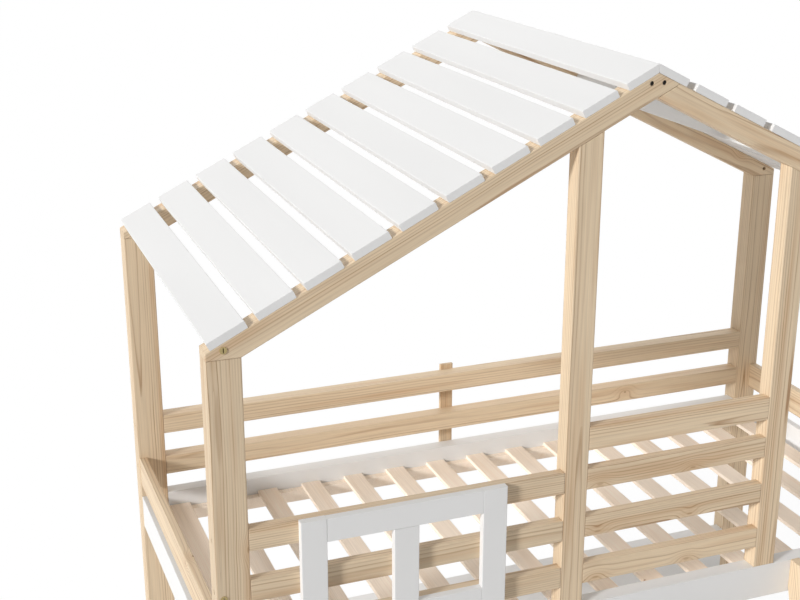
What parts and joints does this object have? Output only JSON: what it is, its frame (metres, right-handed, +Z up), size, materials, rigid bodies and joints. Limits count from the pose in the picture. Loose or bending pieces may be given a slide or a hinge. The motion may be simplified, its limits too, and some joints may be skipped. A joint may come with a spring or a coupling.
{
  "type": "kids loft bed",
  "caption": "Wooden loft bed for a child with a pitched roof of spaced slats, guard rails, a window frame on the front, a slatted base and a ladder.",
  "frame": {"origin": "on the floor, under the middle of the bed's length and of its depth from the ladder's feet to the back faces of the rear posts", "axes": "+X along the bed from the window end to the entry end, +Y from the front with the ladder to the back, +Z up"},
  "size_m": [2.08, 1.3828, 2.2707],
  "materials": {
    "pine": "clear matt lacquer",
    "white_paint": "satin white paint",
    "slat_wood": "planed, untreated",
    "brass": "plated barrel nuts",
    "steel": "zinc plated bolts and screws"
  },
  "bodies": {
    "root": {"corner_post_front_left": "pine", "corner_post_front_right": "pine", "corner_post_rear_left": "pine", "corner_post_rear_right": "pine", "rafter_front_left": "pine", "rafter_front_right": "pine", "rafter_rear_left": "pine", "rafter_rear_right": "pine", "roof_slat_left_01": "white_paint", "roof_slat_left_02": "white_paint", "roof_slat_left_03": "white_paint", "roof_slat_left_04": "white_paint", "roof_slat_left_05": "white_paint", "roof_slat_left_06": "white_paint", "roof_slat_left_07": "white_paint", "roof_slat_left_08": "white_paint", "roof_slat_left_09": "white_paint", "roof_slat_left_10": "white_paint", "roof_slat_right_01": "white_paint", "roof_slat_right_02": "white_paint", "roof_slat_right_03": "white_paint", "roof_slat_right_04": "white_paint", "roof_slat_right_05": "white_paint", "roof_slat_right_06": "white_paint", "roof_slat_right_07": "white_paint", "roof_slat_right_08": "white_paint", "roof_slat_right_09": "white_paint", "roof_slat_right_10": "white_paint", "roof_purlin": "white_paint", "window_post": "pine", "entry_post": "pine", "side_board_front": "white_paint", "side_board_rear": "white_paint", "low_board_rear": "white_paint", "end_board_left": "white_paint", "end_board_right": "white_paint", "end_rail_left": "pine", "end_rail_right": "pine", "front_rail_left_low": "pine", "front_rail_left_middle": "pine", "front_rail_left_upper": "pine", "front_rail_right_low": "pine", "front_rail_right_middle": "pine", "front_rail_right_upper": "pine", "front_rail_right_top": "pine", "rear_rail_low": "pine", "rear_rail_middle": "pine", "rear_batten": "pine", "base_ledger_front": "slat_wood", "slatted_base": "slat_wood", "window_stile_left": "white_paint", "window_stile_right": "white_paint", "window_rail_bottom": "white_paint", "window_rail_top": "white_paint", "window_bar_middle": "white_paint", "ladder_stile_left": "pine", "ladder_stile_right": "pine", "ladder_tread_1": "pine", "ladder_tread_2": "pine", "ladder_tread_3": "pine"}
  },
  "joints": []
}
